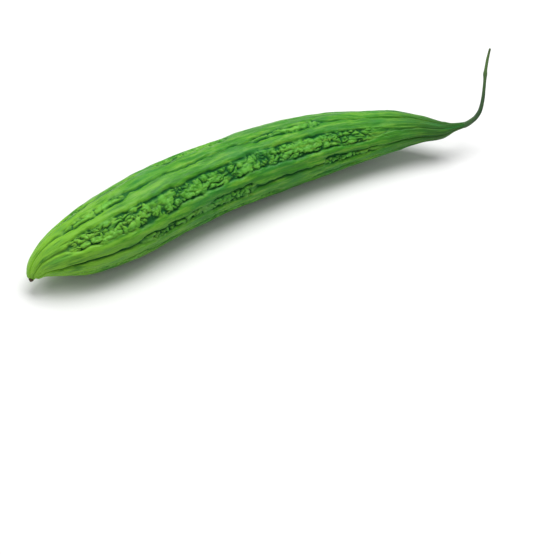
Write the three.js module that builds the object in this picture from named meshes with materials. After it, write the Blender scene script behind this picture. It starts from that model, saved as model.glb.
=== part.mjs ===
// A bitter gourd as picked: a long, slim green fruit that bows sideways, with ten smooth ridges
// running from end to end, bands of packed warts between them, a drooping blossom end with its dried
// scar, and the stalk that it hung from, which hooks upwards.
// Millimetres, +Z up. The fruit lies along X with its blossom end at -X, resting on its belly.
import * as THREE from "three";

// The fruit's axis from the blossom end to the neck, and its radius over the ridges.
const FRUIT_STATIONS = [
  { x: 0.0, y: 0.0, z: 11.8, radius: 1.7 },
  { x: 1.6, y: 1.6, z: 13.2, radius: 4.6 },
  { x: 8.0, y: 3.8, z: 16.8, radius: 8.8 },
  { x: 20.0, y: 4.6, z: 20.2, radius: 14.8 },
  { x: 38.0, y: 6.0, z: 21.8, radius: 20.0 },
  { x: 62.0, y: 10.2, z: 22.1, radius: 23.2 },
  { x: 90.0, y: 16.4, z: 22.1, radius: 23.6 },
  { x: 120.0, y: 21.2, z: 21.5, radius: 22.9 },
  { x: 150.0, y: 23.9, z: 20.9, radius: 22.2 },
  { x: 180.0, y: 24.8, z: 20.3, radius: 21.3 },
  { x: 206.0, y: 23.2, z: 20.2, radius: 19.2 },
  { x: 230.0, y: 19.2, z: 20.4, radius: 16.0 },
  { x: 250.0, y: 14.6, z: 20.9, radius: 12.8 },
  { x: 265.0, y: 8.9, z: 21.2, radius: 9.0 },
  { x: 275.0, y: 3.4, z: 21.3, radius: 6.4 },
  { x: 280.0, y: 2.1, z: 21.4, radius: 4.9 },
  { x: 285.0, y: 1.4, z: 21.5, radius: 3.0 },
  { x: 292.0, y: 0.4, z: 21.8, radius: 1.9 },
];

// The stalk from the neck to its cut end, with the swelling where a small bract grew.
const STALK_STATIONS = [
  { x: 292.4, y: 0.35, z: 21.8, radius: 1.85 },
  { x: 293.2, y: 0.25, z: 21.85, radius: 1.8 },
  { x: 294.6, y: 0.0, z: 22.5, radius: 1.75 },
  { x: 296.6, y: -0.4, z: 23.9, radius: 1.65 },
  { x: 299.8, y: -0.5, z: 26.3, radius: 1.5 },
  { x: 303.2, y: 0.6, z: 30.2, radius: 1.35 },
  { x: 305.8, y: 3.1, z: 36.6, radius: 1.15 },
  { x: 308.0, y: 6.5, z: 43.2, radius: 0.98 },
  { x: 309.3, y: 8.8, z: 47.6, radius: 1.0 },
  { x: 310.1, y: 10.4, z: 50.8, radius: 1.35 },
  { x: 311.0, y: 11.7, z: 53.6, radius: 1.0 },
  { x: 313.0, y: 14.2, z: 58.8, radius: 0.9 },
  { x: 315.7, y: 16.9, z: 65.0, radius: 0.65 },
];
const STALK_ROWS = 40;
const STALK_SIDES = 10;
const STALK_FLUTES = 5;
const STALK_FLUTE_DEPTH = 0.07; // as a share of the stalk's radius

// The dried scar on the blossom end: how far it stands out, and its radius.
const SCAR_STATIONS = [
  { out: 0.3, radius: 1.4 },
  { out: 0.8, radius: 1.5 },
  { out: 1.4, radius: 1.0 },
  { out: 2.0, radius: 0.5 },
];
const SCAR_SIDES = 15;
const SCAR_LOBES = 5;
const SCAR_LOBE_DEPTH = 0.16;

// The middle of the box that fruit and stalk fill together, which is the part's origin.
const BOX_MIDDLE = { x: 157.1, y: 16.1 };

// The ridges' places round the fruit in degrees, from the top towards -Y.
const RIDGE_ANGLES = [-54, -18, 14, 64, 98, 131, 163, 197, 229, 262];
const BELLY_RIDGES = [6, 7]; // the two that the fruit lies on
const RIDGE_HALF_DEG = 11.0; // from a crest to the crease beside its band of warts
const RIDGE_SHOULDER_DEG = 6.5; // from a crest to where its flank begins to fall
const RIDGE_HEIGHT = 2.0;
const RIDGE_DIP = 0.16; // how much lower a ridge runs in its low stretches, as a share
const RIDGE_DIP_LENGTH = 43;
const RIDGE_WANDER_DEG = 2.0; // how far a ridge strays from its place as it runs along the fruit
const RIDGE_WANDER_LENGTH = 140;
const FULL_RELIEF_RADIUS = 15; // a thinner stretch of the fruit has lower relief

// The warts stand in lanes along the bands between the ridges, one lane in a narrow band and two in
// a wide one. They fill the wide bands apart from the smooth ends of the fruit.
const WIDE_BAND_DEG = 40;
const WARTS_BEGIN = [22, 36];
const WARTS_END = [222, 262];
const WART_HEIGHT = [1.4, 2.2];
const WART_FILL = [0.95, 1.15]; // a wart's length and width in the space that its lane gives it
const WART_STRAY = 1.0; // how far the creases between warts stray from even places, in rows

// A narrow band opens in stretches to show its warts and is a plain groove elsewhere. It is open
// where the sum of a long wave and a weaker, shorter one is high.
const OPENING_LENGTH = 125;
const SHORTER_OPENINGS = 1.7; // the shorter waves to each long one
const SHORTER_STRENGTH = 0.7;
const OPENING_LIMITS = [-0.6, 0.2];
const OPENING_SEEDS = [7, 40];

// The fruit's skin is a net of rows round it and columns along it. Each wart is two rows long.
const TIP_LENGTH = 16;
const TIP_ROWS = 8;
const BODY_ROWS = 90;

const RADIANS = Math.PI / 180;
const FINE_STEPS = 1600;

// A repeatable draw from 0 to 1 for a pair of whole numbers.
function draw(i, j) {
  const wave = Math.sin(i * 127.1 + j * 311.7) * 43758.5453;
  return wave - Math.floor(wave);
}

function between([low, high], share) {
  return low + (high - low) * share;
}

function smoothStep([low, high], value) {
  const t = Math.min(Math.max((value - low) / (high - low), 0), 1);
  return t * t * (3 - 2 * t);
}

// A rounded bump: 1 in the middle, falling steeply to 0 at a distance of 1.
function dome(distance) {
  return distance < 1 ? Math.pow(1 - distance * distance, 0.6) : 0;
}

// A broad back with steep flanks: 1 along the middle, 0 from a distance of 1.
function broadBack(distance) {
  return Math.max(0, 1 - Math.pow(distance, 4));
}

// The smooth value of one column of a table of stations at station number u, by Catmull-Rom.
function smoothValue(stations, key, u) {
  const last = stations.length - 1;
  const i = Math.min(Math.floor(u), last - 1);
  const t = u - i;
  const around = [i - 1, i, i + 1, i + 2].map((k) => Math.min(Math.max(k, 0), last));
  const [a, b, c, d] = around.map((k) => stations[k][key]);
  return b + 0.5 * t * (c - a + t * (2 * a - 5 * b + 4 * c - d + t * (3 * (b - c) + d - a)));
}

// A table of stations as a fine line of centres and radii, with the distance along it.
function fineLine(stations) {
  const line = [];
  for (let n = 0; n <= FINE_STEPS; n++) {
    const u = (n / FINE_STEPS) * (stations.length - 1);
    const [x, y, z, radius] = ["x", "y", "z", "radius"].map((key) => smoothValue(stations, key, u));
    const centre = new THREE.Vector3(x, y, z);
    const before = line[n - 1];
    line.push({ centre, radius, along: before ? before.along + centre.distanceTo(before.centre) : 0 });
  }
  return line;
}

// The cross-section of a line at a distance along it: its centre, radius and how that changes, and
// the axis with the two directions square to it that angles are measured in, up and towards -Y.
function sectionAt(line, along) {
  const found = line.findIndex((point) => point.along >= along);
  const n = found < 0 ? line.length - 1 : Math.max(1, found);
  const [from, to] = [line[n - 1], line[n]];
  const step = to.along - from.along;
  const share = (along - from.along) / step;
  const centre = from.centre.clone().lerp(to.centre, share);
  const radius = between([from.radius, to.radius], share);
  const axis = to.centre.clone().sub(from.centre).normalize();
  const side = axis.clone().cross(new THREE.Vector3(0, 0, 1)).normalize();
  const up = side.clone().cross(axis);
  return { along, centre, radius, slope: (to.radius - from.radius) / step, axis, side, up };
}

// The point of a section at an angle from its top, raised by a height square to the skin.
function skinPoint(section, angle, radius, height) {
  const outward = section.up.clone().multiplyScalar(Math.cos(angle));
  outward.addScaledVector(section.side, Math.sin(angle));
  const normal = outward.clone().addScaledVector(section.axis, -section.slope).normalize();
  return section.centre.clone().addScaledVector(outward, radius).addScaledVector(normal, height);
}

// One closed surface through rows of points, from the first to the last, with both ends capped.
function closedSurface(rows) {
  const count = rows[0].length;
  const points = rows.flat();
  const middleOf = (row) => {
    const sum = row.reduce((total, point) => total.add(point), new THREE.Vector3());
    return sum.divideScalar(count);
  };
  const firstCap = points.push(middleOf(rows[0])) - 1;
  const lastCap = points.push(middleOf(rows[rows.length - 1])) - 1;
  const lastRow = (rows.length - 1) * count;
  const faces = [];
  for (let column = 0; column < count; column++) {
    const next = (column + 1) % count;
    faces.push(firstCap, next, column);
    faces.push(lastCap, lastRow + column, lastRow + next);
    for (let row = 0; row < lastRow; row += count) {
      faces.push(row + column, row + next, row + count + next);
      faces.push(row + column, row + count + next, row + count + column);
    }
  }
  const positions = points.flatMap((point) => point.toArray());
  const geometry = new THREE.BufferGeometry();
  geometry.setAttribute("position", new THREE.Float32BufferAttribute(positions, 3));
  geometry.setIndex(faces);
  geometry.computeVertexNormals();
  return geometry;
}

const FRUIT_LINE = fineLine(FRUIT_STATIONS);
const ROW_PITCH = (FRUIT_LINE[FINE_STEPS].along - TIP_LENGTH) / BODY_ROWS;

// The distance along the fruit of a row of its net. The rows crowd together at the very tip.
function rowPlace(row) {
  if (row < TIP_ROWS) return TIP_LENGTH * Math.pow(row / TIP_ROWS, 1.8);
  return TIP_LENGTH + ROW_PITCH * (row - TIP_ROWS);
}

// Where a ridge's crest is at a distance along the fruit, in degrees.
function crest(ridge, along) {
  const wave = along / RIDGE_WANDER_LENGTH + draw(ridge, 5);
  return RIDGE_ANGLES[ridge] + RIDGE_WANDER_DEG * Math.sin(2 * Math.PI * wave);
}

function ridgeHeight(ridge, along) {
  const wave = along / RIDGE_DIP_LENGTH + draw(ridge, 6);
  return RIDGE_HEIGHT * (1 - RIDGE_DIP * (0.5 + 0.5 * Math.sin(2 * Math.PI * wave)));
}

// The band from one ridge to the next at a distance along the fruit: the angles of both crests.
function bandEdges(band, along) {
  const next = (band + 1) % RIDGE_ANGLES.length;
  const turn = next === 0 ? 360 : 0;
  return [crest(band, along), crest(next, along) + turn];
}

function isWide(band) {
  const [from, to] = bandEdges(band, 0);
  return to - from > WIDE_BAND_DEG;
}

// The lanes of warts in a band. Their places and widths are shares of the way between the creases
// beside the band's two ridges. The second lane is shifted by a row, so that its warts interlock.
function lanesOf(band) {
  const count = isWide(band) ? 2 : 1;
  return Array.from({ length: count }, (_, lane) => ({
    seed: 10 * band + lane,
    shift: lane,
    place: (lane + 0.5) / count,
    halfWidth: 0.5 / count,
  }));
}

const LANES = RIDGE_ANGLES.map((_, band) => lanesOf(band));

// Where the crease before wart n of a lane is, along the fruit.
function creaseAt(lane, n) {
  const stray = WART_STRAY * (draw(lane.seed, n) - 0.5);
  return TIP_LENGTH + ROW_PITCH * (2 * n + lane.shift + stray);
}

// The height of a lane's warts at a share of the way across the band.
function wartHeight(lane, share, along) {
  const nearest = Math.floor(((along - TIP_LENGTH) / ROW_PITCH - lane.shift) / 2);
  let height = 0;
  for (const n of [nearest - 1, nearest, nearest + 1]) {
    const [from, to] = [creaseAt(lane, n), creaseAt(lane, n + 1)];
    const fill = between(WART_FILL, draw(lane.seed, n + 300));
    const offAlong = (along - (from + to) / 2) / (fill * ((to - from) / 2));
    const offAcross = (share - lane.place) / (fill * lane.halfWidth);
    const wart = between(WART_HEIGHT, draw(lane.seed, n + 600));
    height = Math.max(height, wart * dome(Math.hypot(offAlong, offAcross)));
  }
  return height;
}

// How far a band is open and shows its warts, from 0 to 1.
function openingAt(band, along) {
  const warty = smoothStep(WARTS_BEGIN, along) * (1 - smoothStep(WARTS_END, along));
  if (isWide(band)) return warty;
  const [longStart, shortStart] = OPENING_SEEDS.map((seed) => draw(band, seed));
  const turns = along / OPENING_LENGTH;
  const longWave = Math.sin(2 * Math.PI * (turns + longStart));
  const shortWave = Math.sin(2 * Math.PI * (SHORTER_OPENINGS * turns + shortStart));
  return warty * smoothStep(OPENING_LIMITS, longWave + SHORTER_STRENGTH * shortWave);
}

// How far the skin of a band stands out at an angle. Where a band closes, the ridges beside it
// widen until only a groove is left between them.
function relief(band, angle, along) {
  const [from, to] = bandEdges(band, along);
  const opening = openingAt(band, along);
  const ridgeHalf = between([0.5 * (to - from), RIDGE_HALF_DEG], opening);
  const next = (band + 1) % RIDGE_ANGLES.length;
  let height = Math.max(
    ridgeHeight(band, along) * broadBack((angle - from) / ridgeHalf),
    ridgeHeight(next, along) * broadBack((to - angle) / ridgeHalf),
  );
  const share = (angle - from - RIDGE_HALF_DEG) / (to - from - 2 * RIDGE_HALF_DEG);
  for (const lane of LANES[band]) {
    height = Math.max(height, opening * wartHeight(lane, share, along));
  }
  return height;
}

// The net's columns in a band: the first ridge's far shoulder, its crease, the warts of each lane
// with the gap between lanes, and the next ridge's crease and near shoulder. A column of warts runs
// over the middles and the creases of its lane. A belly ridge has its crest too, to rest on.
function columnsOf(band) {
  const columns = BELLY_RIDGES.includes(band) ? [{ offCrest: 0 }] : [];
  columns.push({ offCrest: RIDGE_SHOULDER_DEG }, { share: 0 });
  LANES[band].forEach((lane, index) => {
    if (index > 0) columns.push({ share: index * 2 * lane.halfWidth });
    const places = LANES[band].length > 1 ? [-0.42, 0.42] : [0];
    places.forEach((place) => columns.push({ share: lane.place + place * lane.halfWidth, lane }));
  });
  columns.push({ share: 1 }, { offCrest: -RIDGE_SHOULDER_DEG });
  return columns.map((column) => ({ ...column, band }));
}

const COLUMNS = RIDGE_ANGLES.flatMap((_, band) => columnsOf(band));

// Where a column crosses a row, along the fruit.
function columnPlace({ lane }, row) {
  const step = row - TIP_ROWS - (lane ? lane.shift : 0);
  if (!lane || step < 0) return rowPlace(row);
  const from = creaseAt(lane, Math.floor(step / 2));
  return step % 2 ? (from + creaseAt(lane, Math.floor(step / 2) + 1)) / 2 : from;
}

// The angle of a column at a distance along the fruit.
function columnAngle({ band, offCrest, share }, along) {
  const [from, to] = bandEdges(band, along);
  if (share === undefined) return offCrest < 0 ? to + offCrest : from + offCrest;
  return between([from + RIDGE_HALF_DEG, to - RIDGE_HALF_DEG], share);
}

function makeFruit() {
  const lastRow = TIP_ROWS + BODY_ROWS;
  const rows = [];
  for (let row = 0; row <= lastRow; row++) {
    const points = COLUMNS.map((column) => {
      const along = row < lastRow ? columnPlace(column, row) : rowPlace(row);
      const section = sectionAt(FRUIT_LINE, along);
      const fade = Math.min(1, section.radius / FULL_RELIEF_RADIUS);
      const angle = columnAngle(column, along);
      const height = fade * relief(column.band, angle, along);
      const point = skinPoint(section, angle * RADIANS, section.radius - RIDGE_HEIGHT * fade, height);
      point.z = Math.max(point.z, 0); // the belly is pressed flat where it rests
      return point;
    });
    rows.push(points);
  }
  return closedSurface(rows);
}

// A stalk with low flutes, evenly spaced rows of points from the neck to its cut end.
function makeStalk() {
  const line = fineLine(STALK_STATIONS);
  const rows = [];
  for (let row = 0; row <= STALK_ROWS; row++) {
    const section = sectionAt(line, (line[FINE_STEPS].along * row) / STALK_ROWS);
    const points = Array.from({ length: STALK_SIDES }, (_, side) => {
      const angle = (2 * Math.PI * side) / STALK_SIDES;
      const flute = 1 + STALK_FLUTE_DEPTH * Math.cos(STALK_FLUTES * angle);
      return skinPoint(section, angle, section.radius * flute, 0);
    });
    rows.push(points);
  }
  return closedSurface(rows);
}

// The scar is a withered stub with lobes, standing on the blossom end along the fruit's axis.
function makeScar() {
  const tip = sectionAt(FRUIT_LINE, 0);
  const rows = SCAR_STATIONS.map(({ out, radius }) => {
    const centre = tip.centre.clone().addScaledVector(tip.axis, -out);
    return Array.from({ length: SCAR_SIDES }, (_, side) => {
      const angle = (2 * Math.PI * side) / SCAR_SIDES;
      const lobe = 1 + SCAR_LOBE_DEPTH * Math.cos(SCAR_LOBES * angle);
      return skinPoint({ ...tip, centre }, angle, radius * lobe, 0);
    });
  });
  return closedSurface(rows.reverse());
}

function namedMesh(name, geometry, look) {
  const mesh = new THREE.Mesh(geometry, new THREE.MeshStandardMaterial(look));
  mesh.name = name;
  return mesh;
}

const gourd = new THREE.Group();
gourd.position.set(-BOX_MIDDLE.x, -BOX_MIDDLE.y, 0);
gourd.add(
  namedMesh("fruit", makeFruit(), { color: 0x4f9a35, roughness: 0.42, metalness: 0 }),
  namedMesh("stalk", makeStalk(), { color: 0x35602c, roughness: 0.6, metalness: 0 }),
  namedMesh("blossom_scar", makeScar(), { color: 0x3f3420, roughness: 0.9, metalness: 0 }),
);

export default gourd;
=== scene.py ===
"""A bitter gourd on a pale floor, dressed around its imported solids: a finely wrinkled, warty skin with
a waxy gloss, a fluted stalk that dries to brown at its cut, and a withered blossom scar. Metres."""

import math

import bpy
import numpy as np
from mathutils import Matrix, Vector, noise


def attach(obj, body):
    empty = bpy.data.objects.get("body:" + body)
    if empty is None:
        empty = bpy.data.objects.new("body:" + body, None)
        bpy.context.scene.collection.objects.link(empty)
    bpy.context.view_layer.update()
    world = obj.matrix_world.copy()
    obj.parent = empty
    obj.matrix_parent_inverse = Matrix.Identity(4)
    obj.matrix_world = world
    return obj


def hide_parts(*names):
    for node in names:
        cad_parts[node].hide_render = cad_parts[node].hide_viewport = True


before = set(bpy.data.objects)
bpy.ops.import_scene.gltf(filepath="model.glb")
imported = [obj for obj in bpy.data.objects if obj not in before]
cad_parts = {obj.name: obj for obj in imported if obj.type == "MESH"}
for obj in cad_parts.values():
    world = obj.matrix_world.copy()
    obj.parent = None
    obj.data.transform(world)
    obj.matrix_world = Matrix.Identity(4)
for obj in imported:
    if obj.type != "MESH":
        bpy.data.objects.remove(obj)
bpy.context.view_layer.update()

# Each line's stations: x, y, z, radius. They are those of the part's solids, but the stalk and the scar
# start a little inside the fruit.
FRUIT_STATIONS = np.array(
    [
        (0.0, 0.0, 0.0118, 0.0017),
        (0.0016, 0.0016, 0.0132, 0.0046),
        (0.008, 0.0038, 0.0168, 0.0088),
        (0.02, 0.0046, 0.0202, 0.0148),
        (0.038, 0.006, 0.0218, 0.02),
        (0.062, 0.0102, 0.0221, 0.0232),
        (0.09, 0.0164, 0.0221, 0.0236),
        (0.12, 0.0212, 0.0215, 0.0229),
        (0.15, 0.0239, 0.0209, 0.0222),
        (0.18, 0.0248, 0.0203, 0.0213),
        (0.206, 0.0232, 0.0202, 0.0192),
        (0.23, 0.0192, 0.0204, 0.016),
        (0.25, 0.0146, 0.0209, 0.0128),
        (0.265, 0.0089, 0.0212, 0.009),
        (0.275, 0.0034, 0.0213, 0.0064),
        (0.28, 0.0021, 0.0214, 0.0049),
        (0.285, 0.0014, 0.0215, 0.003),
        (0.292, 0.0004, 0.0218, 0.0019),
    ]
)
STALK_STATIONS = np.array(
    [
        (0.2905, 0.0006, 0.02175, 0.0018),
        (0.2924, 0.00035, 0.0218, 0.0019),
        (0.2932, 0.00025, 0.02185, 0.0018),
        (0.2946, 0.0, 0.0225, 0.00175),
        (0.2966, -0.0004, 0.0239, 0.00165),
        (0.2998, -0.0005, 0.0263, 0.0015),
        (0.3032, 0.0006, 0.0302, 0.00135),
        (0.3058, 0.0031, 0.0366, 0.00115),
        (0.308, 0.0065, 0.0432, 0.00098),
        (0.3093, 0.0088, 0.0476, 0.001),
        (0.3101, 0.0104, 0.0508, 0.00135),
        (0.311, 0.0117, 0.0536, 0.001),
        (0.313, 0.0142, 0.0588, 0.0009),
        (0.3157, 0.0169, 0.065, 0.00065),
    ]
)

# The scar's stations: how far out of the blossom end, and radius.
SCAR_STATIONS = [(-0.0004, 0.0013), (0.0004, 0.0015), (0.0009, 0.0014), (0.0014, 0.0009), (0.002, 0.0005)]

# Where the part's origin lies among the stations.
BOX_MIDDLE = np.array((0.1571, 0.0161, 0.0))

# The ridges and the bands of warts between them lie where the solids have them. A narrow band opens
# around the same places, in stretches a little shorter than theirs, and the relief fades sooner than
# theirs towards both ends.
RIDGE_ANGLES = (-54, -18, 14, 64, 98, 131, 163, 197, 229, 262)
RIDGE_HEIGHT = 0.002
RIDGE_DIP = 0.16
RIDGE_DIP_LENGTH = 0.043
RIDGE_WANDER_DEG = 2.0
RIDGE_WANDER_LENGTH = 0.14
FULL_RELIEF_RADIUS = 0.018
WIDE_BAND_DEG = 40
WARTS_BEGIN = (0.022, 0.036)
WARTS_END = (0.222, 0.262)
WART_STRAY = 1.0
OPENING_LENGTH = 0.125
SHORTER_OPENINGS = 1.7
SHORTER_STRENGTH = 0.7
OPENING_LIMITS = (-0.2, 0.45)
OPENING_SEEDS = (7, 40)
TIP_LENGTH = 0.016
SOLID_BODY_ROWS = 90  # the rows of the solids' net behind the tip, whose pitch places the warts
FINE_STEPS = 1600

# A draw is what a steep sine wave has past a whole number.
DRAW_FACTORS = (127.1, 311.7)
DRAW_STEEPNESS = 43758.5453

# The seeds of the draws, and the steps between the seeds of lanes, of noises and of the swirl's axes.
WANDER_SEED = 5
DIP_SEED = 6
FILL_SEED = 300
HEIGHT_SEED = 600
LANE_SEED_STEP = 10
NOISE_SEED_STEP = 17.3
SWIRL_SEED_STEP = 10

# The finer skin has rounder ridges and fuller warts. A closed band is a groove with a narrow floor.
OPEN_HALF_DEG = (9.5, 11.0)  # from a crest to an open band, a narrow one and a wide one
CLOSED_GROOVE_FLOOR = (-0.0003, 0.0006)  # of a narrow band and of a wide one
CLOSED_GROOVE_DEG = 1.8
CLOSED_FLANK_DEG = 3.6
OPEN_FLANK_DEG = 5.0
RIDGE_CROWN = 0.18  # how much lower a ridge is beside its flanks than at its crest, as a share
WART_HEIGHT = (0.0015, 0.0021)  # of the lowest wart and of the highest
WART_FILL = (1.25, 1.5)  # the least and the most of its place that a wart fills, where 1 is all of it
WART_ROUNDNESS = 0.45
BAND_EDGE_DEG = (-1.5, 0.5)  # across a band's edge, from where its warts begin to where they are full
EDGE_GROOVE_DEG = 2.8  # from a band's edge to either side of the groove along it
EDGE_GROOVE_DEPTH = 0.0012
LEAST_IN_BAND = (0.0006, 0.0013)  # the least height between warts, and where they have grown together
LEAST_CREASED = 0.35  # how deep the creases still are where they are faintest, as a share
DEEPEST = -0.0004

# Layers of smooth noise: each one's strength, the size of its features, how many times longer than
# wide they are, and its seed.
WARP_ALONG = ((0.0024, 0.006, 1, 1), (0.0009, 0.0026, 1, 8))
WARP_DEG = ((4.0, 0.007, 1, 2), (2.0, 0.003, 1, 3))
RAGGED_DEG = ((2.0, 0.0035, 1, 16), (3.2, 0.009, 1, 19), (2.0, 0.02, 1, 17))
SWIRL = ((0.0014, 0.004, 1, 11), (0.0006, 0.0018, 1, 12))
RIDGE_WRINKLES = ((0.0004, 0.0036, 10, 5),)
WRINKLES = ((0.00024, 0.0036, 10, 5), (0.00034, 0.0026, 3, 18), (0.0002, 0.01, 1, 6))
CRUMPLES = ((0.0003, 0.0022, 1, 4),)

# Creases between crumpled folds: their depth, the folds' size, the creases' share of it and a seed.
CREASES = ((0.0018, 0.0066, 0.13, 21), (0.0014, 0.0038, 0.16, 22), (0.0006, 0.0026, 0.16, 23))

# What comes and goes along the skin: the noise's values where it is gone and where it is full, the
# size of its stretches and a seed.
BRIDGED = ((-0.2, 0.2), 0.006, 9)
CREASED = ((-0.3, 0.1), 0.008, 14)
UNDERCUT = ((-0.25, 0.15), 0.009, 15)

# The finer nets of skin, stalk and scar. The skin's columns are closer together in the bands.
TIP_ROWS = 30
TIP_CROWDING = 1.8
BODY_ROWS = 456
COLUMNS = 200
BAND_DENSITY = 1.3  # how much closer, as a share
BAND_DENSITY_DEG = (7.0, 11.0)  # from a crest to where the columns begin to close up, and are close
NOMINAL_RADIUS = 0.02
STALK_ROWS = 150
STALK_SIDES = 30
STALK_FLUTES = 5
STALK_FLUTE_DEPTH = 0.06
STALK_ROUGHNESS = ((0.05, 0.0008, 5, 7),)
STALK_RADIUS = 0.002
SCAR_SIDES = 40
SCAR_LOBES = 5
SCAR_LOBE_DEPTH = 0.16


def draw(i, j):
    """A repeatable draw from 0 to 1 for a pair of whole numbers."""
    wave = np.sin(i * DRAW_FACTORS[0] + j * DRAW_FACTORS[1]) * DRAW_STEEPNESS
    return wave - np.floor(wave)


def between(limits, share):
    return limits[0] + (limits[1] - limits[0]) * share


def smooth_step(limits, value):
    t = np.clip((value - limits[0]) / (limits[1] - limits[0]), 0, 1)
    return t * t * (3 - 2 * t)


def dome(distance):
    return np.power(np.clip(1 - distance * distance, 0, 1), WART_ROUNDNESS)


def ridge_profile(off_crest, half, flank):
    """A ridge's height as a share at an angle from its crest: a gently rounded back, steep flanks."""
    into_flank = np.clip((half - off_crest) / flank, 0, 1)
    crown = 1 - RIDGE_CROWN * np.clip(off_crest / half, 0, 1) ** 2
    return crown * (1 - (1 - into_flank) ** 2)


def fine_line(stations):
    """The Catmull-Rom line through a table of stations, and the distance along it."""
    last = len(stations) - 1
    u = np.linspace(0, last, FINE_STEPS + 1)
    i = np.minimum(u.astype(int), last - 1)
    t = (u - i)[:, None]
    a, b, c, d = (stations[np.clip(i + k, 0, last)] for k in (-1, 0, 1, 2))
    line = b + 0.5 * t * (c - a + t * (2 * a - 5 * b + 4 * c - d + t * (3 * (b - c) + d - a)))
    steps = np.linalg.norm(np.diff(line[:, :3], axis=0), axis=1)
    return line, np.concatenate([[0], np.cumsum(steps)])


class Sections:
    """A line's cross-sections at any distances along it."""

    def __init__(self, stations):
        self.line, self.along = fine_line(stations)
        self.length = self.along[-1]
        tangent = np.gradient(self.line[:, :3], self.along, axis=0)
        self.tangent = tangent / np.linalg.norm(tangent, axis=1)[:, None]
        self.slope = np.gradient(self.line[:, 3], self.along)

    def value(self, column, along):
        return np.interp(along, self.along, column)

    def vector(self, columns, along):
        return np.stack([self.value(columns[:, k], along) for k in range(3)], axis=-1)

    def radius(self, along):
        return self.value(self.line[:, 3], along)

    def points(self, along, angle, radius, height):
        """Points at an angle from the section's top, raised by a height square to the skin."""
        axis = self.vector(self.tangent, along)
        side = np.cross(axis, (0.0, 0.0, 1.0))
        side /= np.linalg.norm(side, axis=-1, keepdims=True)
        up = np.cross(side, axis)
        outward = np.cos(angle)[..., None] * up + np.sin(angle)[..., None] * side
        normal = outward - self.value(self.slope, along)[..., None] * axis
        normal /= np.linalg.norm(normal, axis=-1, keepdims=True)
        centre = self.vector(self.line, along)
        return centre + outward * radius[..., None] + normal * height[..., None]


FRUIT = Sections(FRUIT_STATIONS)
ROW_PITCH = (FRUIT.length - TIP_LENGTH) / SOLID_BODY_ROWS


def crest(ridge, along):
    wave = along / RIDGE_WANDER_LENGTH + draw(ridge, WANDER_SEED)
    return RIDGE_ANGLES[ridge] + RIDGE_WANDER_DEG * np.sin(2 * math.pi * wave)


def ridge_height(ridge, along):
    wave = along / RIDGE_DIP_LENGTH + draw(ridge, DIP_SEED)
    return RIDGE_HEIGHT * (1 - RIDGE_DIP * (0.5 + 0.5 * np.sin(2 * math.pi * wave)))


def band_edges(band, along):
    """The angles of the two crests that a band lies between."""
    following = (band + 1) % len(RIDGE_ANGLES)
    turn = 360 if following == 0 else 0
    return crest(band, along), crest(following, along) + turn


def is_wide(band):
    start, end = band_edges(band, 0.0)
    return bool(end - start > WIDE_BAND_DEG)


def lanes_of(band):
    """The lanes of warts in a band, as the solids have them."""
    count = 2 if is_wide(band) else 1
    return [
        {
            "seed": LANE_SEED_STEP * band + lane,
            "shift": lane,
            "place": (lane + 0.5) / count,
            "half_width": 0.5 / count,
        }
        for lane in range(count)
    ]


def crease_at(lane, n):
    stray = WART_STRAY * (draw(lane["seed"], n) - 0.5)
    return TIP_LENGTH + ROW_PITCH * (2 * n + lane["shift"] + stray)


def wart_height(lane, share, along):
    """The height of a lane's warts at a share of the way across the band."""
    nearest = np.floor(((along - TIP_LENGTH) / ROW_PITCH - lane["shift"]) / 2)
    height = np.zeros_like(along)
    for n in (nearest - 1, nearest, nearest + 1):
        start, end = crease_at(lane, n), crease_at(lane, n + 1)
        fill = between(WART_FILL, draw(lane["seed"], n + FILL_SEED))
        off_along = (along - (start + end) / 2) / (fill * ((end - start) / 2))
        off_across = (share - lane["place"]) / (fill * lane["half_width"])
        wart = between(WART_HEIGHT, draw(lane["seed"], n + HEIGHT_SEED))
        height = np.maximum(height, wart * dome(np.hypot(off_along, off_across)))
    return height


def opening_at(band, along):
    """How far a band is open and shows its warts, from 0 to 1. A narrow one opens in stretches."""
    warty = smooth_step(WARTS_BEGIN, along) * (1 - smooth_step(WARTS_END, along))
    if is_wide(band):
        return warty
    long_start, short_start = (draw(band, seed) for seed in OPENING_SEEDS)
    turns = along / OPENING_LENGTH
    long_wave = np.sin(2 * math.pi * (turns + long_start))
    short_wave = np.sin(2 * math.pi * (SHORTER_OPENINGS * turns + short_start))
    return warty * smooth_step(OPENING_LIMITS, long_wave + SHORTER_STRENGTH * short_wave)


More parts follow.
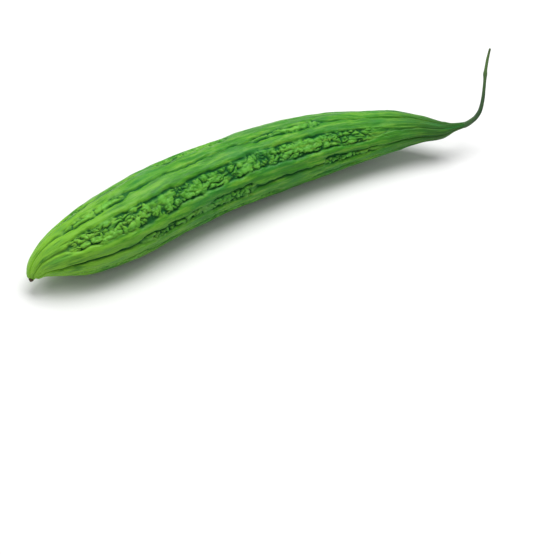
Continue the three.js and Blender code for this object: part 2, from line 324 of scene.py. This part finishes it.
def relief(angle_deg, along, warp_deg, warp_along):
    """How far the skin stands out. With it, from 0 to 1, how far each point is into an open band of
    warts, and how near to the band's edges. The warts are warped out of their even places."""
    height = np.zeros_like(along)
    in_band = np.zeros_like(along)
    at_edge = np.zeros_like(along)
    for band in range(len(RIDGE_ANGLES)):
        following = (band + 1) % len(RIDGE_ANGLES)
        start, end = band_edges(band, along)
        angle = start + np.mod(angle_deg - start, 360)
        opening = opening_at(band, along)
        open_half = OPEN_HALF_DEG[is_wide(band)]
        ridge_half = between((0.5 * (end - start - CLOSED_GROOVE_DEG), open_half), opening)
        flank = between((CLOSED_FLANK_DEG, OPEN_FLANK_DEG), opening)
        skin = np.maximum(
            ridge_height(band, along) * ridge_profile(angle - start, ridge_half, flank),
            ridge_height(following, along) * ridge_profile(end - angle, ridge_half, flank),
        )
        skin = np.maximum(skin, CLOSED_GROOVE_FLOOR[is_wide(band)] * (1 - opening))
        share = (angle + warp_deg - start - open_half) / (end - start - 2 * open_half)
        for lane in lanes_of(band):
            skin = np.maximum(skin, opening * wart_height(lane, share, along + warp_along))
        inside_deg = np.minimum(angle - start, end - angle) - open_half
        inside = opening * smooth_step(BAND_EDGE_DEG, inside_deg)
        edge = opening * (1 - smooth_step((0, EDGE_GROOVE_DEG), np.abs(inside_deg)))
        here = angle < end
        height, in_band, at_edge = (
            np.where(here, new, old) for new, old in ((skin, height), (inside, in_band), (edge, at_edge))
        )
    return height, in_band, at_edge


def noise_at(places, size, seed, longer=1):
    """Smooth noise, about -1 to 1, at an array of places. Its features have a size, and are drawn
    out along the fruit so many times longer than wide."""
    flat = (places / (size * longer, size, size)).reshape(-1, 3) + NOISE_SEED_STEP * seed
    values = [noise.noise(Vector(place)) for place in flat.tolist()]
    return np.array(values).reshape(places.shape[:-1])


def layered(places, layers, seed_shift=0):
    """The sum of layers of noise."""
    total = np.zeros(places.shape[:-1])
    for strength, size, longer, seed in layers:
        total += strength * noise_at(places, size, seed + seed_shift, longer)
    return total


def in_stretches(places, limits, size, seed):
    """A share from 0 to 1 that comes and goes over a size."""
    return smooth_step(limits, noise_at(places, size, seed))


def creases(places):
    """How deep the creases between crumpled folds are. They wind along where the noise is nought."""
    swirl = [layered(places, SWIRL, SWIRL_SEED_STEP * axis) for axis in range(3)]
    swirled = places + np.stack(swirl, axis=-1)
    depths = []
    for depth, size, share, seed in CREASES:
        depths.append(depth * (1 - smooth_step((0, share), np.abs(noise_at(swirled, size, seed)))))
    return np.max(depths, axis=0)


def weather(straight, height, in_band, at_edge):
    """The relief with its warts grown together in places and crumpled, the edges of its bands
    undercut in stretches, and the whole skin wrinkled."""
    height = np.maximum(height, in_band * between(LEAST_IN_BAND, in_stretches(straight, *BRIDGED)))
    height -= creases(straight) * in_band * between((LEAST_CREASED, 1), in_stretches(straight, *CREASED))
    height -= EDGE_GROOVE_DEPTH * at_edge * in_stretches(straight, *UNDERCUT)
    height += layered(straight, WRINKLES)
    height += layered(straight, RIDGE_WRINKLES) * (1 - in_band)
    height += layered(straight, CRUMPLES) * in_band
    return np.maximum(height, DEEPEST)


def closed_surface(name, rows, values=None):
    """A mesh through rows of points with both ends capped, and values stored on its points."""
    count = rows.shape[1]
    first_middle, last_middle = rows[0].mean(axis=0), rows[-1].mean(axis=0)
    points = np.concatenate([rows.reshape(-1, 3), [first_middle, last_middle]]) - BOX_MIDDLE
    last_row = (len(rows) - 1) * count
    faces = []
    for column in range(count):
        following = (column + 1) % count
        faces.append((len(points) - 2, following, column))
        faces.append((len(points) - 1, last_row + column, last_row + following))
        for row in range(0, last_row, count):
            faces.append((row + column, row + following, row + count + following, row + count + column))
    mesh = bpy.data.meshes.new(name)
    mesh.from_pydata(points.tolist(), [], faces)
    mesh.shade_smooth()
    for key, grid in (values or {}).items():
        ends = np.concatenate([grid[:1].mean(axis=1), grid[-1:].mean(axis=1)])
        flat = np.concatenate([grid.reshape(-1, *grid.shape[2:]), ends])
        kind = "FLOAT_VECTOR" if flat.ndim == 2 else "FLOAT"
        stored = mesh.attributes.new(key, kind, "POINT")
        stored.data.foreach_set("vector" if flat.ndim == 2 else "value", flat.astype(np.float32).ravel())
    piece = bpy.data.objects.new(name, mesh)
    bpy.context.scene.collection.objects.link(piece)
    return piece


def column_angles():
    """The angles of the net's columns, from the belly once round. They are closer in the bands."""
    fine = np.linspace(180.0, 540.0, FINE_STEPS + 1)
    off_crest = np.min([np.abs(np.mod(fine - angle + 180, 360) - 180) for angle in RIDGE_ANGLES], axis=0)
    density = 1 + BAND_DENSITY * smooth_step(BAND_DENSITY_DEG, off_crest)
    passed = np.concatenate([[0], np.cumsum((density[1:] + density[:-1]) / 2)])
    return np.interp(np.arange(COLUMNS) / COLUMNS * passed[-1], passed, fine)


def straightened(along, angle, radius):
    """The places of a net's points as if it were a straight round bar."""
    return np.stack([along, radius * np.cos(angle), radius * np.sin(angle)], axis=-1)


def make_skin():
    tip = TIP_LENGTH * (np.arange(TIP_ROWS) / TIP_ROWS) ** TIP_CROWDING
    body = np.linspace(TIP_LENGTH, FRUIT.length, BODY_ROWS + 1)
    along, angle_deg = np.meshgrid(np.concatenate([tip, body]), column_angles(), indexing="ij")
    angle = np.radians(angle_deg)
    straight = straightened(along, angle, NOMINAL_RADIUS)

    ragged_deg = angle_deg + layered(straight, RAGGED_DEG)
    warps = layered(straight, WARP_DEG), layered(straight, WARP_ALONG)
    height, in_band, at_edge = relief(ragged_deg, along, *warps)
    height = weather(straight, height, in_band, at_edge)

    fade = np.minimum(1, FRUIT.radius(along) / FULL_RELIEF_RADIUS)
    points = FRUIT.points(along, angle, FRUIT.radius(along) - RIDGE_HEIGHT * fade, fade * height)
    points[..., 2] = np.maximum(points[..., 2], 0)  # the belly is pressed flat where it rests
    shown_height = 1 - fade * (1 - height / RIDGE_HEIGHT)
    values = {"straight": straight, "height": shown_height, "in_band": in_band}
    return closed_surface("gourd_skin", points, values)


def make_stalk():
    line = Sections(STALK_STATIONS)
    around = np.arange(STALK_SIDES) * 2 * math.pi / STALK_SIDES
    along, angle = np.meshgrid(np.linspace(0, line.length, STALK_ROWS), around, indexing="ij")
    straight = straightened(along, angle, STALK_RADIUS)
    flute = 1 + STALK_FLUTE_DEPTH * np.cos(STALK_FLUTES * angle) + layered(straight, STALK_ROUGHNESS)
    points = line.points(along, angle, line.radius(along) * flute, np.zeros_like(along))
    return closed_surface("cut_stalk", points, {"straight": straight})


def make_scar():
    """A withered stub with lobes, standing on the blossom end along the fruit's axis."""
    axis = FRUIT.tangent[0]
    side = np.cross(axis, (0.0, 0.0, 1.0))
    side /= np.linalg.norm(side)
    up = np.cross(side, axis)
    angle = (np.arange(SCAR_SIDES) * 2 * math.pi / SCAR_SIDES)[:, None]
    lobes = (1 + SCAR_LOBE_DEPTH * np.cos(SCAR_LOBES * angle)) * (np.cos(angle) * up + np.sin(angle) * side)
    rows = [FRUIT.line[0, :3] - out * axis + radius * lobes for out, radius in reversed(SCAR_STATIONS)]
    return closed_surface("withered_scar", np.array(rows))


def add_node(tree, kind, inputs=None, **settings):
    """A shader node with its settings and inputs, each input a value or another node's socket."""
    made = tree.nodes.new(kind)
    for key, value in settings.items():
        setattr(made, key, value)
    for key, value in (inputs or {}).items():
        if isinstance(value, bpy.types.NodeSocket):
            tree.links.new(value, made.inputs[key])
        else:
            made.inputs[key].default_value = value
    return made


def new_material(name, constants):
    """A material with its node tree and its shader, whose constants are set on its own inputs."""
    material = bpy.data.materials.new(name)
    material.use_nodes = True
    shader = material.node_tree.nodes["Principled BSDF"]
    for key, value in constants.items():
        shader.inputs[key].default_value = value
    return material, material.node_tree, shader


def attribute(tree, name, output="Fac"):
    return add_node(tree, "ShaderNodeAttribute", attribute_name=name).outputs[output]


def noise_texture(tree, place, size, longer, detail, roughness):
    """A noise whose features have a size, and are drawn out along X so many times longer than wide."""
    squeezed = add_node(
        tree, "ShaderNodeVectorMath", {0: place, 1: (1 / longer, 1.0, 1.0)}, operation="MULTIPLY"
    ).outputs[0]
    inputs = {"Vector": squeezed, "Scale": 1 / size, "Detail": detail, "Roughness": roughness}
    return add_node(tree, "ShaderNodeTexNoise", inputs).outputs["Fac"]


def ramp(tree, factor, stops):
    made = add_node(tree, "ShaderNodeValToRGB", {"Fac": factor})
    elements = made.color_ramp.elements
    elements[0].position, elements[0].color = stops[0][0], (*stops[0][1], 1)
    elements[1].position, elements[1].color = stops[-1][0], (*stops[-1][1], 1)
    for position, color in stops[1:-1]:
        elements.new(position).color = (*color, 1)
    return made.outputs["Color"]


# The places of the colour sockets of a mix node.
MIX_FACTOR = 0
MIX_FIRST = 6
MIX_SECOND = 7
MIX_RESULT = 2


def mix(tree, factor, color, second):
    """A colour that gives way to a second one, a constant, by a factor."""
    inputs = {MIX_FACTOR: factor, MIX_FIRST: color, MIX_SECOND: (*second, 1)}
    return add_node(tree, "ShaderNodeMix", inputs, data_type="RGBA").outputs[MIX_RESULT]


def map_range(tree, value, limits, results=(0.0, 1.0)):
    inputs = {"Value": value, "From Min": limits[0], "From Max": limits[1]}
    inputs.update({"To Min": results[0], "To Max": results[1]})
    return add_node(tree, "ShaderNodeMapRange", inputs).outputs["Result"]


def calculate(tree, operation, first, second):
    return add_node(tree, "ShaderNodeMath", {0: first, 1: second}, operation=operation).outputs[0]


def add_bump(tree, shader, height, strength, distance):
    bump = add_node(tree, "ShaderNodeBump", {"Height": height, "Strength": strength, "Distance": distance})
    tree.links.new(bump.outputs["Normal"], shader.inputs["Normal"])


def distance_along(tree, straight):
    return add_node(tree, "ShaderNodeSeparateXYZ", {0: straight}).outputs["X"]


# The skin's greens, in linear light.
TIP_GREEN = (0.24, 0.53, 0.034)
NEAR_TIP_GREEN = (0.09825, 0.31625, 0.019)
BODY_GREEN = (0.051, 0.245, 0.014)
NECK_GREEN = (0.021, 0.098, 0.012)
STREAK_GREEN = (0.16, 0.38, 0.036)
DARK_STREAK_GREEN = (0.028, 0.16, 0.012)
PATCH_GREEN = (0.016, 0.19, 0.038)
# A painted highlight: the pale green laid on the warts' tops, where they stand highest in a band.
WART_HIGHLIGHT_GREEN = (0.15, 0.47, 0.06)
# Painted shade: the dark green laid into the creases and grooves, where the skin lies low.
CREVICE_SHADE_GREEN = (0.006, 0.09, 0.02)

# The greens along the fruit, each at a share of its length.
GREENS_ALONG = (
    (0.0, TIP_GREEN),
    (0.22, NEAR_TIP_GREEN),
    (0.4, BODY_GREEN),
    (0.8, BODY_GREEN),
    (0.94, NECK_GREEN),
)

# Each noise of a material: the size of its features, how many times longer than wide they are, its
# detail and its roughness.
STREAK_NOISE = (0.0022, 8.0, 5.0, 0.7)
PATCH_NOISE = (0.01, 2.5, 2.0, 0.5)
GLOSS_NOISE = (0.004, 1.0, 3.0, 0.6)
CRINKLE_NOISE = (0.0016, 4.0, 4.0, 0.65)
FIBRE_NOISE = (0.0006, 10.0, 3.0, 0.6)
GRAIN_NOISE = (0.0008, 1.0, 4.0, 0.6)

# The values of noise and height between which each colour sets in, and how strong it is there.
STREAKS = (((0.5, 0.62), STREAK_GREEN), ((0.5, 0.38), DARK_STREAK_GREEN))
STREAK_STRENGTH = (0.8, 0.3)
STREAK_FADE = (0.24, 0.285)  # from the first strength to the second, along the fruit
PATCH_LIMITS = (0.52, 0.68)
PATCH_STRENGTH = 0.45
# The heights between which the painted highlight on the warts' tops sets in, and its strength.
WART_HIGHLIGHT_HEIGHTS = (0.5, 1.0)
WART_HIGHLIGHT_STRENGTH = 0.6
# The heights between which the painted shade in the creases sets in, and its strength.
CREVICE_SHADE_HEIGHTS = (0.55, 0.1)
CREVICE_SHADE_STRENGTH = 0.9
GLOSS_LIMITS = (0.3, 0.7)
WAX_ROUGHNESS = (0.26, 0.46)

# The skin lets a little light in, and has a weak gloss. Its bump's strength and depth.
SKIN_CONSTANTS = {
    "Subsurface Weight": 0.12,
    "Subsurface Radius": (0.6, 1.0, 0.3),
    "Subsurface Scale": 0.002,
    "Specular IOR Level": 0.16,
}
SKIN_BUMP = (0.8, 0.0007)


def skin_color(tree, straight, height, crevice_shade):
    """Yellower at the tip and darker at the neck, streaked, patched, with a painted highlight on the warts'
    tops and painted shade in the creases.
    """
    along = distance_along(tree, straight)
    color = ramp(tree, map_range(tree, along, (0.0, FRUIT.length)), GREENS_ALONG)
    streaks = noise_texture(tree, straight, *STREAK_NOISE)
    strength = map_range(tree, along, STREAK_FADE, STREAK_STRENGTH)
    for limits, streak_green in STREAKS:
        color = mix(tree, map_range(tree, streaks, limits, (0.0, strength)), color, streak_green)
    patches = noise_texture(tree, straight, *PATCH_NOISE)
    color = mix(tree, map_range(tree, patches, PATCH_LIMITS, (0.0, PATCH_STRENGTH)), color, PATCH_GREEN)
    # A painted highlight: the warts' tops in the bands are lightened towards a pale green.
    wart_highlight = map_range(tree, height, WART_HIGHLIGHT_HEIGHTS, (0.0, WART_HIGHLIGHT_STRENGTH))
    wart_highlight = calculate(tree, "MULTIPLY", wart_highlight, attribute(tree, "in_band"))
    color = mix(tree, wart_highlight, color, WART_HIGHLIGHT_GREEN)
    # Painted shade: the low creases and grooves are darkened towards a dark green.
    return mix(tree, crevice_shade, color, CREVICE_SHADE_GREEN)


def skin_material():
    material, tree, shader = new_material("waxy_green_skin", SKIN_CONSTANTS)
    straight = attribute(tree, "straight", "Vector")
    height = attribute(tree, "height")
    # How low each point lies in a crease, which sets the painted shade there and also makes the creases
    # rougher.
    crevice_shade = map_range(tree, height, CREVICE_SHADE_HEIGHTS, (0.0, CREVICE_SHADE_STRENGTH))
    tree.links.new(skin_color(tree, straight, height, crevice_shade), shader.inputs["Base Color"])
    waxy = map_range(tree, noise_texture(tree, straight, *GLOSS_NOISE), GLOSS_LIMITS, WAX_ROUGHNESS)
    tree.links.new(calculate(tree, "MAXIMUM", waxy, crevice_shade), shader.inputs["Roughness"])
    add_bump(tree, shader, noise_texture(tree, straight, *CRINKLE_NOISE), *SKIN_BUMP)
    return material


STALK_GREEN = (0.014, 0.055, 0.014)
STALK_OLIVE = (0.07, 0.15, 0.03)
STALK_BROWN = (0.035, 0.035, 0.018)
STALK_LENGTH = 0.06
STALK_COLORS = (  # each at a share of the stalk's length
    (0.0, NECK_GREEN),
    (0.15, STALK_GREEN),
    (0.4, STALK_GREEN),
    (0.75, STALK_OLIVE),
    (0.85, STALK_OLIVE),
    (1.0, STALK_BROWN),
)
STALK_CONSTANTS = {"Roughness": 0.55}
STALK_BUMP = (0.6, 0.0003)
FIBRE_LIMITS = (0.45, 0.7)
FIBRE_STRENGTH = 0.6


def stalk_material():
    """Green at the neck, paler towards the small bract, and brown at the cut, with long fibres."""
    material, tree, shader = new_material("stalk_green", STALK_CONSTANTS)
    straight = attribute(tree, "straight", "Vector")
    along = distance_along(tree, straight)
    color = ramp(tree, map_range(tree, along, (0.0, STALK_LENGTH)), STALK_COLORS)
    fibres = noise_texture(tree, straight, *FIBRE_NOISE)
    color = mix(tree, map_range(tree, fibres, FIBRE_LIMITS, (0.0, FIBRE_STRENGTH)), color, STALK_OLIVE)
    tree.links.new(color, shader.inputs["Base Color"])
    add_bump(tree, shader, fibres, *STALK_BUMP)
    return material


SCAR_COLORS = ((0.3, (0.02, 0.013, 0.006)), (0.7, (0.1, 0.065, 0.03)))  # at two values of the grain
SCAR_CONSTANTS = {"Roughness": 0.85}
SCAR_BUMP = (0.8, 0.0005)


def scar_material():
    material, tree, shader = new_material("withered_brown", SCAR_CONSTANTS)
    place = add_node(tree, "ShaderNodeTexCoord").outputs["Object"]
    grain = noise_texture(tree, place, *GRAIN_NOISE)
    tree.links.new(ramp(tree, grain, SCAR_COLORS), shader.inputs["Base Color"])
    add_bump(tree, shader, grain, *SCAR_BUMP)
    return material


FLOOR_SIZE = 6.0
FLOOR_CONSTANTS = {"Base Color": (0.76, 0.76, 0.76, 1), "Roughness": 0.9}


def make_floor():
    bpy.ops.mesh.primitive_plane_add(size=FLOOR_SIZE)
    floor = bpy.context.object
    floor.name = "pale_floor"
    material, _, _ = new_material("floor_white", FLOOR_CONSTANTS)
    floor.data.materials.append(material)


def dress():
    """The pieces that stand for the part's nodes: maker, material, node and the slot of its finish."""
    pieces = (
        (make_skin, skin_material, "fruit", "fruit_skin"),
        (make_stalk, stalk_material, "stalk", "green_stalk"),
        (make_scar, scar_material, "blossom_scar", "dried_scar"),
    )
    for maker, material, node, slot in pieces:
        piece = maker()
        piece.data.materials.append(material())
        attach(piece, "root")
        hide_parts(node)


CAMERA_PLACE = Vector((-0.33863, -0.78652, 0.94125))
CAMERA_TARGET = Vector((-0.02468, -0.08195, 0.0209))
CAMERA_LENS = 130.8  # in millimetres, as its sensor
CAMERA_SENSOR = 36.0


def add_camera():
    camera = bpy.data.objects.new("camera", bpy.data.cameras.new("camera"))
    bpy.context.scene.collection.objects.link(camera)
    camera.location = CAMERA_PLACE
    camera.rotation_euler = (CAMERA_TARGET - CAMERA_PLACE).to_track_quat("-Z", "Y").to_euler()
    camera.data.lens = CAMERA_LENS
    camera.data.sensor_width = CAMERA_SENSOR
    bpy.context.scene.camera = camera


SKY_WHITE = (1, 1, 1, 1)
SKY_STRENGTH = 0.42
SOFTBOXES = (  # name, place, size and power in watts; each faces the middle of the floor
    ("top_softbox", (0.28, 0.28, 1.4), (1.2, 0.85), 23.5),
    ("left_softbox", (-1.0, 0.2, 1.1), (0.6, 0.6), 5.0),
)


def add_light(name, place, size, power):
    light = bpy.data.objects.new(name, bpy.data.lights.new(name, "AREA"))
    bpy.context.scene.collection.objects.link(light)
    light.location = place
    light.rotation_euler = (-Vector(place)).to_track_quat("-Z", "Y").to_euler()
    light.data.shape = "RECTANGLE"
    light.data.size, light.data.size_y = size
    light.data.energy = power


def add_lights():
    for softbox in SOFTBOXES:
        add_light(*softbox)
    world = bpy.data.worlds.new("studio")
    world.use_nodes = True
    background = world.node_tree.nodes["Background"]
    background.inputs["Color"].default_value = SKY_WHITE
    background.inputs["Strength"].default_value = SKY_STRENGTH
    bpy.context.scene.world = world


bpy.context.scene.view_settings.view_transform = "Standard"
dress()
make_floor()
add_lights()
add_camera()
